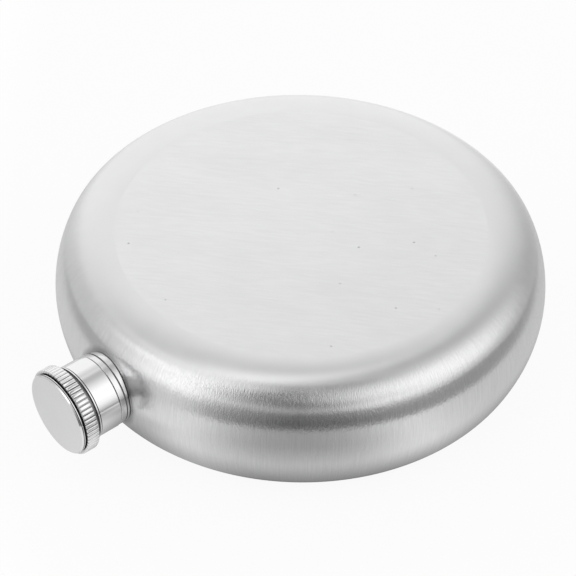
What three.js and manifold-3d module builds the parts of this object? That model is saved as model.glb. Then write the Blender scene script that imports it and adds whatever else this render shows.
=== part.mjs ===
// A round hip flask lying on its back: two drawn steel half shells welded at mid thickness, a collar and a
// threaded spout in the round wall, and a screw cap with a fluted grip ring.
// Millimetres, +Z up. The origin is the centre of the flat back face, and the neck points along -Y.
import * as THREE from "three";
import { mergeVertices } from "three/addons/utils/BufferGeometryUtils.js";
import Module from "manifold-3d";

const wasm = await Module();
wasm.setup();

// Body
const BODY_DIAMETER = 100;
const BODY_THICKNESS = 27.2;
const SHEET_THICKNESS = 0.7;
const SHOULDER_RADIUS = 8.2; // round between the flat face and the wall
const SHOULDER_LIMIT = 0.9; // most of half the thickness that the shoulder may take up
const WALL_LEAN = 23.7; // degrees that the bulging wall leans in where the shoulder takes over

// Neck
const SPOUT_BORE = 9;
const SPOUT_WALL = 0.8;
const SPOUT_FLANGE_WIDTH = 0.7; // rim inside the flask that holds the spout in its collar
const SPOUT_FLANGE_THICKNESS = 0.6;
const SPOUT_MOUTH_CHAMFER = 0.25;
const COLLAR_WALL = 0.8; // of the part that goes through the shells
const COLLAR_RIM_WIDTH = 1.25; // how far the visible rings stand out past that part
const COLLAR_HEIGHT = 1.2; // above the body's rim
const COLLAR_DEPTH = 3.6; // reach inside the body's rim
const COLLAR_GROOVE_WIDTH = 0.25;
const COLLAR_GROOVE_DEPTH = 0.3;
const COLLAR_TOP_RING = 0.9; // width of the ring above the groove

// Cap
const THREAD_DEPTH = 0.65; // room between spout and liner for the thread
const LINER_WALL = 0.65;
const LINER_TOP = 0.6;
const LINER_SETBACK = 0.3; // of the liner behind the rim of the sleeve
const SEAL_THICKNESS = 1;
const SLEEVE_WALL = 0.85;
const SLEEVE_TOP = 0.7;
const SKIRT_LENGTH = 5;
const SKIRT_RIM_CHAMFER = 0.2;
const LIP_WIDTH = 0.4;
const LIP_HEIGHT = 0.2;
const CAP_GROOVE_WIDTH = 0.85; // between the lip and the grip ring
const CAP_GROOVE_DEPTH = 0.25;
const GRIP_WIDTH = 2.85;
const GRIP_WALL = 1.1; // from the ring's bore to the roots of its flutes
const FLUTE_COUNT = 60;
const FLUTE_DEPTH = 0.4;
const FLUTE_ROOT_SHARE = 0.24; // of a flute's pitch
const FLUTE_CREST_SHARE = 0.52;
const DISC_DIAMETER = 16.8;
const DISC_THICKNESS = 0.5;
const DISC_CHAMFER = 0.2;
const DISC_BOSS_HEIGHT = 0.25; // sets the dark groove between the disc and the grip ring
const DISC_BOSS_STEP = 0.5; // of the disc's edge past its boss

// Clearances
const WELD_GAP = 0.3; // between the collar and the shells
const FIT_GAP = 0.15; // round one turned piece in another
const RIM_GAP = 0.3; // between the closed cap and the collar

// Fineness of round forms
const BODY_SEGMENTS = 72;
const NECK_SEGMENTS = 48;
const SHOULDER_STEPS = 6;
const WALL_STEPS = 4;

const midHeight = BODY_THICKNESS / 2;
const bodyRadius = BODY_DIAMETER / 2;

// Radii outwards from the neck's axis
const boreRadius = SPOUT_BORE / 2;
const spoutRadius = boreRadius + SPOUT_WALL;
const collarBore = spoutRadius + FIT_GAP;
const spigotRadius = collarBore + COLLAR_WALL;
const collarRadius = spigotRadius + COLLAR_RIM_WIDTH;
const holeRadius = spigotRadius + WELD_GAP;
const linerBore = spoutRadius + THREAD_DEPTH;
const linerRadius = linerBore + LINER_WALL;
const sealRadius = linerBore - FIT_GAP;
const sleeveBore = linerRadius + FIT_GAP;
const skirtRadius = sleeveBore + SLEEVE_WALL;
const crownRadius = skirtRadius - CAP_GROOVE_DEPTH;
const gripBore = crownRadius + FIT_GAP;
const gripRootRadius = gripBore + GRIP_WALL;
const discRadius = DISC_DIAMETER / 2;

// Stations along the neck, measured from the body's axis
const collarTop = bodyRadius + COLLAR_HEIGHT;
const collarFoot = bodyRadius - COLLAR_DEPTH;
const spoutFoot = collarFoot - SPOUT_FLANGE_THICKNESS;
const capRim = collarTop + RIM_GAP;
const skirtTop = capRim + SKIRT_LENGTH;
const lipTop = skirtTop + LIP_WIDTH;
const gripFoot = lipTop + CAP_GROOVE_WIDTH;
const sleeveTop = gripFoot + GRIP_WIDTH;
const linerTop = sleeveTop - SLEEVE_TOP;
const sealTop = linerTop - LINER_TOP;
const spoutEnd = sealTop - SEAL_THICKNESS;
const discFoot = sleeveTop + DISC_BOSS_HEIGHT;
const discFace = discFoot + DISC_THICKNESS;

const brushedSteel = { color: 0xc9cacc, roughness: 0.34, metalness: 1 };
const polishedSteel = { color: 0xd6d7d9, roughness: 0.16, metalness: 1 };
const mouldedPlastic = { color: 0xe4e4e0, roughness: 0.5, metalness: 0 };
const siliconeRubber = { color: 0xd9d8d4, roughness: 0.7, metalness: 0 };

// A closed solid from a geometry, for joining and cutting.
function solidOf(geometry) {
  const bare = geometry.clone();
  bare.deleteAttribute("normal");
  bare.deleteAttribute("uv");
  const merged = mergeVertices(bare, 1e-4);
  return new wasm.Manifold(
    new wasm.Mesh({
      numProp: 3,
      vertProperties: merged.attributes.position.array,
      triVerts: new Uint32Array(merged.index.array),
    }),
  );
}

// The geometry of a solid.
function geometryOf(solid) {
  const { vertProperties, triVerts } = solid.getMesh();
  const geometry = new THREE.BufferGeometry();
  geometry.setAttribute("position", new THREE.BufferAttribute(vertProperties, 3));
  geometry.setIndex(new THREE.BufferAttribute(triVerts, 1));
  geometry.computeVertexNormals();
  return geometry;
}

// Points of an arc from one angle to another, in radians, both ends included.
function arc(centre, radius, from, to, steps) {
  const curve = new THREE.ArcCurve(centre.x, centre.y, radius, from, to, to < from);
  return curve.getPoints(steps);
}

// The body's half section from the middle of the flat face to the rim, as radius and height over the
// weld, at a distance out from (or, if negative, in from) the outer surface.
function halfSection(offset) {
  const lean = THREE.MathUtils.degToRad(WALL_LEAN);
  const shoulder = Math.min(SHOULDER_RADIUS, SHOULDER_LIMIT * midHeight);
  const wall = shoulder + (midHeight - shoulder) / Math.sin(lean);
  const wallCentre = new THREE.Vector2(bodyRadius - wall, 0);
  const shoulderCentre = new THREE.Vector2(wall - shoulder, 0).rotateAround(new THREE.Vector2(), lean);
  shoulderCentre.add(wallCentre);
  return [
    new THREE.Vector2(0, midHeight + offset),
    ...arc(shoulderCentre, shoulder + offset, Math.PI / 2, lean, SHOULDER_STEPS),
    ...arc(wallCentre, wall + offset, lean, 0, WALL_STEPS).slice(1),
  ];
}

// A solid of revolution about the upright axis through the body, from radius and height over the weld.
function turnBody(profile) {
  return new THREE.LatheGeometry(profile, BODY_SEGMENTS).rotateX(Math.PI / 2);
}

// A solid of revolution about the neck's axis. The section is a closed outline of radius and station pairs,
// listed from the foot of its outer side outwards along the neck and back through the bore.
function turnNeck(section) {
  const profile = section.map(([radius, station]) => new THREE.Vector2(radius, -station));
  return new THREE.LatheGeometry(profile.reverse(), NECK_SEGMENTS);
}

// The upper half shell over the weld plane, with half of the hole for the collar.
function halfShell() {
  const outer = halfSection(0);
  const inner = halfSection(-SHEET_THICKNESS);
  const dish = solidOf(turnBody([...inner, ...outer.reverse()]));
  const hole = solidOf(
    turnNeck([
      [0, 0],
      [holeRadius, 0],
      [holeRadius, collarTop],
      [0, collarTop],
    ]),
  );
  return geometryOf(dish.subtract(hole));
}

// The ring round the mouth. Its foot is saddled to the round wall, and a spigot goes on through the shells.
function neckCollar() {
  const grooveTop = collarTop - COLLAR_TOP_RING;
  const grooveFoot = grooveTop - COLLAR_GROOVE_WIDTH;
  const grooveRadius = collarRadius - COLLAR_GROOVE_DEPTH;
  const rings = solidOf(
    turnNeck([
      [0, collarFoot],
      [collarRadius, collarFoot],
      [collarRadius, grooveFoot],
      [grooveRadius, grooveFoot],
      [grooveRadius, grooveTop],
      [collarRadius, grooveTop],
      [collarRadius, collarTop],
      [0, collarTop],
    ]),
  );
  const upperBody = halfSection(WELD_GAP);
  const lowerBody = upperBody.map(({ x, y }) => new THREE.Vector2(x, -y)).reverse();
  const bodyWithGap = solidOf(turnBody([...upperBody, ...lowerBody.slice(1)].reverse()));
  const spigot = solidOf(
    turnNeck([
      [0, collarFoot],
      [spigotRadius, collarFoot],
      [spigotRadius, collarTop],
      [0, collarTop],
    ]),
  );
  const bore = solidOf(
    turnNeck([
      [0, spoutFoot],
      [collarBore, spoutFoot],
      [collarBore, capRim],
      [0, capRim],
    ]),
  );
  return geometryOf(rings.subtract(bodyWithGap).add(spigot).subtract(bore));
}

// The mouth tube, held by a flange behind the collar.
function neckSpout() {
  return turnNeck([
    [boreRadius, spoutFoot],
    [spoutRadius + SPOUT_FLANGE_WIDTH, spoutFoot],
    [spoutRadius + SPOUT_FLANGE_WIDTH, collarFoot],
    [spoutRadius, collarFoot],
    [spoutRadius, spoutEnd - SPOUT_MOUTH_CHAMFER],
    [spoutRadius - SPOUT_MOUTH_CHAMFER, spoutEnd],
    [boreRadius, spoutEnd],
    [boreRadius, spoutFoot],
  ]);
}

// The skirt, the lip and the crown that carries the grip ring, closed at the top.
function capSleeve() {
  return turnNeck([
    [sleeveBore, capRim],
    [skirtRadius - SKIRT_RIM_CHAMFER, capRim],
    [skirtRadius, capRim + SKIRT_RIM_CHAMFER],
    [skirtRadius, skirtTop],
    [skirtRadius + LIP_HEIGHT, skirtTop],
    [skirtRadius + LIP_HEIGHT, lipTop],
    [crownRadius, lipTop],
    [crownRadius, sleeveTop],
    [0, sleeveTop],
    [0, linerTop],
    [sleeveBore, linerTop],
    [sleeveBore, capRim],
  ]);
}

// The ring of straight flutes: an outline of crests and roots, pushed out along the neck.
function capGripRing() {
  const pitch = (2 * Math.PI) / FLUTE_COUNT;
  const crestHalf = (pitch * FLUTE_CREST_SHARE) / 2;
  const rootHalf = (pitch * FLUTE_ROOT_SHARE) / 2;
  const crestRadius = gripRootRadius + FLUTE_DEPTH;
  const outline = [];
  for (let flute = 0; flute < FLUTE_COUNT; flute += 1) {
    const crest = flute * pitch;
    const root = crest + pitch / 2;
    for (const [radius, angle] of [
      [crestRadius, crest - crestHalf],
      [crestRadius, crest + crestHalf],
      [gripRootRadius, root - rootHalf],
      [gripRootRadius, root + rootHalf],
    ]) {
      outline.push(new THREE.Vector2(radius, 0).rotateAround(new THREE.Vector2(), angle));
    }
  }
  const ring = new THREE.Shape(outline);
  ring.holes.push(new THREE.Path().absarc(0, 0, gripBore, 0, 2 * Math.PI));
  const options = { depth: GRIP_WIDTH, bevelEnabled: false, curveSegments: NECK_SEGMENTS };
  return new THREE.ExtrudeGeometry(ring, options).rotateX(Math.PI / 2).translate(0, -gripFoot, 0);
}

// The flat end of the cap, on a low boss that rests on the sleeve and the grip ring.
function capEndDisc() {
  const bossRadius = discRadius - DISC_BOSS_STEP;
  return turnNeck([
    [0, sleeveTop],
    [bossRadius, sleeveTop],
    [bossRadius, discFoot],
    [discRadius, discFoot],
    [discRadius, discFace - DISC_CHAMFER],
    [discRadius - DISC_CHAMFER, discFace],
    [0, discFace],
  ]);
}

// The moulded insert that takes the thread.
function capLiner() {
  const linerRim = capRim + LINER_SETBACK;
  return turnNeck([
    [linerBore, linerRim],
    [linerRadius, linerRim],
    [linerRadius, linerTop],
    [0, linerTop],
    [0, sealTop],
    [linerBore, sealTop],
    [linerBore, linerRim],
  ]);
}

// The soft washer that the spout's end presses against the liner.
function capSeal() {
  return turnNeck([
    [0, spoutEnd],
    [sealRadius, spoutEnd],
    [sealRadius, sealTop],
    [0, sealTop],
  ]);
}

// One named piece.
function piece(name, geometry, finish) {
  const mesh = new THREE.Mesh(geometry, new THREE.MeshStandardMaterial(finish));
  mesh.name = name;
  return mesh;
}

const frontShell = piece("front_shell", halfShell(), brushedSteel);
const backShell = piece("back_shell", halfShell(), brushedSteel);
backShell.rotation.y = Math.PI;

const neck = new THREE.Group();
neck.add(
  piece("neck_collar", neckCollar(), polishedSteel),
  piece("neck_spout", neckSpout(), polishedSteel),
);

const cap = new THREE.Group();
cap.add(
  piece("cap_sleeve", capSleeve(), polishedSteel),
  piece("cap_grip_ring", capGripRing(), polishedSteel),
  piece("cap_end_disc", capEndDisc(), brushedSteel),
  piece("cap_liner", capLiner(), mouldedPlastic),
  piece("cap_seal", capSeal(), siliconeRubber),
);

const flask = new THREE.Group();
flask.position.z = midHeight;
flask.add(frontShell, backShell, neck, cap);

const part = new THREE.Group();
part.add(flask);

export default part;
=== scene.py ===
"""A round hip flask, dressed: brushed half shells, a turned neck and a screw cap with a fluted ring.

Sizes in the classes are millimetres, as on a drawing, and meshes are metres in the row frame.
The flask lies on its back face, and the neck points along -Y at mid thickness.
"""

import logging
import math
from collections.abc import Callable
from dataclasses import dataclass
from enum import Enum

import bpy
import numpy as np
from mathutils import Matrix, Quaternion, Vector


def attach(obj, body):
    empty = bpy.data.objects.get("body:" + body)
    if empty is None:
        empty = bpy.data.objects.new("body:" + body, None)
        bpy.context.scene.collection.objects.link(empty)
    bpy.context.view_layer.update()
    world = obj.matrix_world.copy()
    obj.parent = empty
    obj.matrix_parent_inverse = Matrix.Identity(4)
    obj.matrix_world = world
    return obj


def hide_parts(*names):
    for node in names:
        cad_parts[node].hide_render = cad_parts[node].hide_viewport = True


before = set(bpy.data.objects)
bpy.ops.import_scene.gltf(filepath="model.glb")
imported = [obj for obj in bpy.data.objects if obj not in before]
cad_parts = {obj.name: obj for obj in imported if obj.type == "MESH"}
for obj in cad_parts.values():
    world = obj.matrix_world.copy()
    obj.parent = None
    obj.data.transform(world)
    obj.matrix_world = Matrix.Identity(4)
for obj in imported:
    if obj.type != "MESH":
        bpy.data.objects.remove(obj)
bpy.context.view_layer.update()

MM = 0.001
WELD = 0.01 * MM  # points closer than this are one
TURN = 2 * math.pi
AXIS_HEIGHT = 13.6  # of the neck, at mid thickness
MIX_FIRST, MIX_SECOND, MIX_RESULT = 6, 7, 2  # the sockets of a Mix node that are colours

Mesh = bpy.types.Mesh
Object = bpy.types.Object
Material = bpy.types.Material
Socket = bpy.types.NodeSocket
Inputs = dict[str | int, object]
Point = tuple[float, float, float]
Colour = tuple[float, float, float]
Span = tuple[float, float]

log = logging.getLogger("flask")


class Part(Enum):
    """The bodies that pieces ride on, by their names in the record."""

    FLASK = "flask"
    SEAL = "seal"
    CAP = "cap"


class Slot(Enum):
    """The record's material slots."""

    BODY = "brushed_body"
    FITTINGS = "polished_fittings"
    DISC = "satin_disc"
    LINER = "moulded_liner"
    SEAL = "soft_seal"


class Side(Enum):
    """The two half shells: how far each is turned over about Y."""

    FRONT = 0.0
    BACK = math.pi


class Grain(Enum):
    """How the lines of a finish run."""

    OVER_WALL = "over the wall, from one flat to the other"
    STRAIGHT = "straight across the flat"
    TURNED = "round the neck's axis"
    EVEN = "in no direction"


class Rule:
    """A number field in a node tree, so that a shape's rule reads as a formula."""

    def __init__(self, sheet: "NodeSheet", socket: Socket) -> None:
        """Keeps the tree and the socket that gives the number."""
        self.sheet = sheet
        self.socket = socket

    def __add__(self, other: "Number") -> "Rule":
        """The sum."""
        return self.sheet.math("ADD", self, other)

    def __mul__(self, other: "Number") -> "Rule":
        """The product."""
        return self.sheet.math("MULTIPLY", self, other)

    def __sub__(self, other: "Number") -> "Rule":
        """The difference."""
        return self.sheet.math("SUBTRACT", self, other)

    def __rsub__(self, other: float) -> "Rule":
        """The difference from a number."""
        return self.sheet.math("SUBTRACT", other, self)

    def __truediv__(self, other: "Number") -> "Rule":
        """The quotient."""
        return self.sheet.math("DIVIDE", self, other)

    __radd__ = __add__
    __rmul__ = __mul__


Number = Rule | float


class NodeSheet:
    """A node tree under construction, with short ways to add nodes."""

    def __init__(self, tree: bpy.types.NodeTree) -> None:
        """Keeps the tree that nodes are added to."""
        self.tree = tree

    def feed(self, socket: Socket, value: object) -> None:
        """Links a rule or a socket to an input, or sets the input's own value.

        Args:
            socket: the input.
            value: a rule, an output socket or a plain value.
        """
        if isinstance(value, Rule):
            value = value.socket
        if isinstance(value, Socket):
            self.tree.links.new(value, socket)
        else:
            socket.default_value = value

    def node(self, kind: str, inputs: Inputs | None = None, **settings: object) -> bpy.types.Node:
        """Adds a node.

        Args:
            kind: Blender's name for the node.
            inputs: values or sockets by the inputs' names or numbers.
            settings: the node's own properties.

        Returns:
            The node.
        """
        node = self.tree.nodes.new(kind)
        for name, value in settings.items():
            setattr(node, name, value)
        for name, value in (inputs or {}).items():
            self.feed(node.inputs[name], value)
        return node

    def out(self, kind: str, inputs: Inputs | None = None, **settings: object) -> Socket:
        """Adds a node and gives its first output."""
        return self.node(kind, inputs, **settings).outputs[0]

    def math(self, operation: str, *values: Number, clamp: bool = False) -> Rule:
        """The result of a Math node, which clamp holds between 0 and 1."""
        inputs = dict(enumerate(values))
        return Rule(self, self.out("ShaderNodeMath", inputs, operation=operation, use_clamp=clamp))

    def sin(self, angle: Rule) -> Rule:
        """The sine."""
        return self.math("SINE", angle)

    def cos(self, angle: Rule) -> Rule:
        """The cosine."""
        return self.math("COSINE", angle)

    def held(self, value: Rule) -> Rule:
        """The value held between 0 and 1."""
        return self.math("ADD", value, 0.0, clamp=True)

    def ramp(self, value: Number, start: Number, end: Number) -> Rule:
        """A smooth step from 0 at start to 1 at end."""
        inputs = {"Value": value, "From Min": start, "From Max": end}
        return Rule(self, self.out("ShaderNodeMapRange", inputs, interpolation_type="SMOOTHSTEP"))

    def vector(self, x: Number, y: Number, z: Number) -> Socket:
        """A vector from its three parts."""
        return self.out("ShaderNodeCombineXYZ", {"X": x, "Y": y, "Z": z})

    def parts(self, vector: Socket) -> list[Rule]:
        """The three parts of a vector."""
        node = self.node("ShaderNodeSeparateXYZ", {"Vector": vector})
        return [Rule(self, part) for part in node.outputs]

    def along(self, vector: Socket, axis: Vector) -> Rule:
        """How far a vector reaches along an axis."""
        node = self.node("ShaderNodeVectorMath", {0: vector, 1: axis}, operation="DOT_PRODUCT")
        return Rule(self, node.outputs["Value"])

    def scaled(self, vector: Socket, factor: Number) -> Socket:
        """A vector times a number."""
        return self.out("ShaderNodeVectorMath", {"Vector": vector, "Scale": factor}, operation="SCALE")

    def ray(self, kind: str) -> Rule:
        """1 for rays of a kind, and 0 for the rest."""
        return Rule(self, self.node("ShaderNodeLightPath").outputs[f"Is {kind} Ray"])


class SurfaceSheet(NodeSheet):
    """A material's tree, with the object coordinates that its patterns lie on."""

    def __init__(self, tree: bpy.types.NodeTree) -> None:
        """Reads the coordinates and works out how far they are from the neck's axis.

        Args:
            tree: the material's node tree.
        """
        super().__init__(tree)
        self.place = self.node("ShaderNodeTexCoord").outputs["Object"]
        self.x, self.y, z = self.parts(self.place)
        self.up = z - AXIS_HEIGHT * MM
        self.off_axis = self.math("SQRT", self.x * self.x + self.up * self.up)


class GeometryTree(NodeSheet):
    """A Geometry Nodes tree with named inputs for its sizes."""

    def __init__(self, name: str) -> None:
        """Starts an empty tree with a geometry going in and out.

        Args:
            name: the tree's name.
        """
        super().__init__(bpy.data.node_groups.new(name, "GeometryNodeTree"))
        for way in ("INPUT", "OUTPUT"):
            self.tree.interface.new_socket("Geometry", in_out=way, socket_type="NodeSocketGeometry")
        self.start = self.node("NodeGroupInput")
        self.end = self.node("NodeGroupOutput")
        self.identifiers: dict[str, str] = {}

    def given(self, *names: str, kind: str = "Float") -> list[Rule]:
        """Adds named inputs.

        Args:
            names: the inputs' names.
            kind: Float, Int or Material.

        Returns:
            The inputs' values inside the tree.
        """
        for name in names:
            item = self.tree.interface.new_socket(name, in_out="INPUT", socket_type=f"NodeSocket{kind}")
            self.identifiers[name] = item.identifier
        return [Rule(self, self.start.outputs[name]) for name in names]

    def position(self) -> Socket:
        """Where each point is."""
        return self.out("GeometryNodeInputPosition")

    def grid(self, width: Number, depth: float, columns: Rule, rows: Rule) -> Socket:
        """A flat grid about the origin, with so many columns and rows of faces."""
        inputs = {"Size X": width, "Size Y": depth, "Vertices X": columns + 1.0, "Vertices Y": rows + 1.0}
        return self.out("GeometryNodeMeshGrid", inputs)

    def moved(self, geometry: Socket, **inputs: object) -> Socket:
        """A geometry with its points, or a Selection of them, set to a Position or moved by an Offset."""
        return self.out("GeometryNodeSetPosition", {"Geometry": geometry} | inputs)

    def joined(self, *geometries: Socket) -> Socket:
        """Several geometries as one.

        Args:
            geometries: what is joined, in order.

        Returns:
            The joined geometry.
        """
        node = self.node("GeometryNodeJoinGeometry")
        for geometry in geometries:
            self.tree.links.new(geometry, node.inputs[0])
        return node.outputs[0]

    def welded(self, geometry: Socket) -> Socket:
        """A geometry with its doubled points merged."""
        return self.out("GeometryNodeMergeByDistance", {"Geometry": geometry, "Distance": WELD})

    def noted(self, geometry: Socket, name: str, value: object, kind: str, domain: str) -> Socket:
        """A geometry with a named attribute of some kind stored on a domain."""
        inputs = {"Geometry": geometry, "Name": name, "Value": value}
        return self.out("GeometryNodeStoreNamedAttribute", inputs, data_type=kind, domain=domain)

    def recalled(self, name: str, kind: str) -> Socket:
        """Reads a named attribute back."""
        return self.out("GeometryNodeInputNamedAttribute", {"Name": name}, data_type=kind)

    def closed_with(self, geometry: Socket, *finishes: tuple[Rule, Socket | None]) -> None:
        """Ends the tree: instances become real, and each finish goes on its faces.

        Args:
            geometry: the finished shape.
            finishes: a material input and the faces that it goes on, or None for all of them.
        """
        last = self.out("GeometryNodeRealizeInstances", {"Geometry": geometry})
        for finish, faces in finishes:
            chosen = {} if faces is None else {"Selection": faces}
            last = self.out("GeometryNodeSetMaterial", {"Geometry": last, "Material": finish} | chosen)
        self.tree.links.new(last, self.end.inputs[0])

    def made(self, name: str, values: dict[str, object], base: Mesh | None = None) -> Object:
        """Runs the tree once and keeps its result as a plain mesh.

        Args:
            name: the new object's name.
            values: the inputs by name.
            base: the mesh that goes into the tree, if it takes one.

        Returns:
            An object with the mesh and no modifier.
        """
        piece = bpy.data.objects.new(name, base or bpy.data.meshes.new(name))
        bpy.context.scene.collection.objects.link(piece)
        modifier = piece.modifiers.new(self.tree.name, "NODES")
        modifier.node_group = self.tree
        for label, value in values.items():
            modifier[self.identifiers[label]] = value
        graph = bpy.context.evaluated_depsgraph_get()
        shape = piece.evaluated_get(graph)
        mesh = bpy.data.meshes.new_from_object(shape, preserve_all_data_layers=True, depsgraph=graph)
        piece.modifiers.remove(modifier)
        piece.data = mesh
        mesh.name = name
        return piece


@dataclass(frozen=True)
class Finish:
    """A surface finish: its colour and gloss, with the small differences that a real one has."""

    name: str
    colour: Colour
    roughness: float
    metal: bool = True
    tone_spread: float = 0.03  # of the colour, over the broad mottling
    line_spread: float = 0.03  # of the colour, over the grain
    rough_spread: float = 0.04  # of the roughness, over the grain
    rough_mottle: float = 0.2  # how much the mottling adds to that
    grain: Grain = Grain.EVEN
    grain_size: float = 0.25  # across one line or grain
    grain_length: float = 12.0  # along a line
    grain_turn: float = 0.0  # degrees of straight lines from +X
    grain_depth: float = 0.0  # of the relief
    grain_detail: float = 3.0  # finer layers of the grain
    grain_harshness: float = 0.55  # how strong each of them is
    grain_fade: Span | None = None  # from mid thickness, where it dies away
    line_length: float | None = None  # of the colour's lines, if not the relief's
    mottle_size: float = 9.0
    mottle_stretch: float = 1.0  # along the lines
    mottle_detail: float = 2.0
    speck_gap: float = 0.0  # from one tiny pit to the next, if there are any
    speck_size: float = 0.4  # from the middle of the largest pit to its edge
    speck_core: float = 0.3  # share of that which is fully dark
    speck_rarity: float = 6.0  # the higher it is, the fewer pits are large
    speck_shade: float = 0.3  # of the colour, lost in a pit
    anisotropy: float = 0.0
    soft_glow: float = 0.0  # share of light that spreads under the surface
    recess_shade_colour: Colour | None = None  # painted shade, where the mesh notes a recess
    collar_painted_shade: float = 0.0  # of the colour, lost to painted shade round the collar's foot
    collar_shade_reach: Span = (9.0, 7.5)  # from the neck's axis, where that begins and is full

    def _grain_place(self, sheet: SurfaceSheet, length: float) -> Socket:
        """Where the grain is looked up, in units of one grain.

        Args:
            sheet: the material's tree.
            length: millimetres along a line.

        Returns:
            The coordinates for the grain's noise.
        """
        fine, coarse = 1 / (self.grain_size * MM), 1 / (length * MM)
        x, y, up = sheet.x, sheet.y, sheet.up
        if self.grain is Grain.OVER_WALL:
            out = sheet.math("SQRT", x * x + y * y + WELD * WELD)
            ring = FlaskBody.diameter / 2 * MM * fine
            return sheet.vector(x / out * ring, y / out * ring, (up - sheet.math("SIGN", up) * out) * coarse)
        if self.grain is Grain.STRAIGHT:
            turn = {"Vector": sheet.place, "Angle": -math.radians(self.grain_turn)}
            turned = sheet.out("ShaderNodeVectorRotate", turn, rotation_type="Z_AXIS")
            along, across, above = sheet.parts(turned)
            return sheet.vector(along * coarse, across * fine, above * fine)
        if self.grain is Grain.TURNED:
            return sheet.vector(y * fine, sheet.off_axis * fine, 0.0)
        return sheet.scaled(sheet.place, fine)

    def _grain_noise(self, sheet: SurfaceSheet, length: float) -> Rule:
        """The grain's lines, which die away where the finish says so.

        Args:
            sheet: the material's tree.
            length: millimetres along a line.

        Returns:
            A number about 0.5.
        """
        noise = {"Scale": 1.0, "Detail": self.grain_detail, "Roughness": self.grain_harshness}
        place = self._grain_place(sheet, length)
        lines = Rule(sheet, sheet.out("ShaderNodeTexNoise", {"Vector": place} | noise))
        if self.grain_fade is None:
            return lines
        full, gone = self.grain_fade
        return 0.5 + (lines - 0.5) * sheet.ramp(sheet.math("ABSOLUTE", sheet.up), gone * MM, full * MM)

    def _specks(self, sheet: SurfaceSheet) -> Rule:
        """Tiny pits here and there.

        Args:
            sheet: the material's tree.

        Returns:
            1 in the middle of a pit and 0 between pits.
        """
        spread = {"Vector": sheet.place, "Scale": 1 / (self.speck_gap * MM)}
        cells = sheet.node("ShaderNodeTexVoronoi", spread, voronoi_dimensions="2D")
        chance = sheet.parts(cells.outputs["Color"])[0]
        reach = sheet.math("POWER", chance, self.speck_rarity) * (self.speck_size / self.speck_gap)
        return sheet.ramp(Rule(sheet, cells.outputs["Distance"]), reach, reach * self.speck_core)

    def _collar_shade_mask(self, sheet: SurfaceSheet) -> Rule:
        """Painted shade round the collar: 1 at the collar's foot and 0 away from it."""
        near = sheet.ramp(sheet.off_axis, *(reach * MM for reach in self.collar_shade_reach))
        return near * sheet.math("LESS_THAN", sheet.y, 0.0)

    def _colour(self, sheet: SurfaceSheet, lines: Rule, mottle: Rule) -> Socket:
        """The colour with its lines, mottling and pits, and with painted shade round the collar and in
        recesses.

        Args:
            sheet: the material's tree.
            lines: the colour's grain.
            mottle: the broad mottling.

        Returns:
            The colour.
        """
        tone = 1.0 + self.line_spread * (2.0 * lines - 1.0) + self.tone_spread * (2.0 * mottle - 1.0)
        if self.speck_gap:
            tone = tone * (1.0 - self.speck_shade * self._specks(sheet))
        # painted shade round the collar's foot
        if self.collar_painted_shade:
            tone = tone * (1.0 - self.collar_painted_shade * self._collar_shade_mask(sheet))
        colour = sheet.scaled(sheet.vector(*self.colour), tone)
        # painted shade in recesses, as the mesh notes it
        if self.recess_shade_colour is None:
            return colour
        depth = sheet.node("ShaderNodeAttribute", attribute_name="recess_shade").outputs["Fac"]
        mix = {"Factor": depth, MIX_FIRST: colour, MIX_SECOND: (*self.recess_shade_colour, 1.0)}
        return sheet.node("ShaderNodeMix", mix, data_type="RGBA").outputs[MIX_RESULT]

    def material(self) -> Material:
        """Builds the finish as a procedural material.

        Returns:
            The material.
        """
        made = bpy.data.materials.new(self.name)
        made.use_nodes = True
        sheet = SurfaceSheet(made.node_tree)
        relief = lines = self._grain_noise(sheet, self.grain_length)
        if self.line_length is not None:
            lines = self._grain_noise(sheet, self.line_length)
        turn, stretch = (0.0, 0.0, math.radians(self.grain_turn)), (self.mottle_stretch, 1.0, 1.0)
        turned = {"Vector": sheet.place, "Rotation": turn, "Scale": stretch}
        place = sheet.out("ShaderNodeMapping", turned, vector_type="TEXTURE")
        broad = {"Vector": place, "Scale": 1 / (self.mottle_size * MM), "Detail": self.mottle_detail}
        mottle = Rule(sheet, sheet.out("ShaderNodeTexNoise", broad))

        looks: Inputs = {
            "Base Color": self._colour(sheet, lines, mottle),
            "Roughness": self.roughness
            + self.rough_spread * (relief - 0.5 + self.rough_mottle * (mottle - 0.5)),
            "Metallic": float(self.metal),
            "Anisotropic": self.anisotropy,
        }
        if self.anisotropy:
            looks["Tangent"] = sheet.out("ShaderNodeTangent", direction_type="UV_MAP", uv_map="brush")
        if self.soft_glow:
            looks |= {"Subsurface Weight": self.soft_glow, "Subsurface Scale": MM}
        if self.grain_depth:
            bump = {"Strength": 1.0, "Distance": self.grain_depth * MM, "Height": relief}
            looks["Normal"] = sheet.out("ShaderNodeBump", bump)
        shader = made.node_tree.nodes["Principled BSDF"]
        for name, value in looks.items():
            sheet.feed(shader.inputs[name], value)
        return made


@dataclass(frozen=True)
class Corner:
    """A corner of a turned outline, as radius and station along the neck."""

    radius: float
    station: float
    ease: float = 0.0  # how far from the corner its rounding starts
    finish: int = 0  # the number of the finish of the surface that starts here
    rows: int = 1  # steps in the surface that starts here
    saddled: bool = False  # whether it lies on the round wall instead of at its station


@dataclass(frozen=True)
class OutlinePoint:
    """A point of a turned outline, with the way along the outline just before and just after it."""

    spot: Vector  # radius and station
    come: Vector
    go: Vector
    finish: int
    saddled: bool


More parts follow.
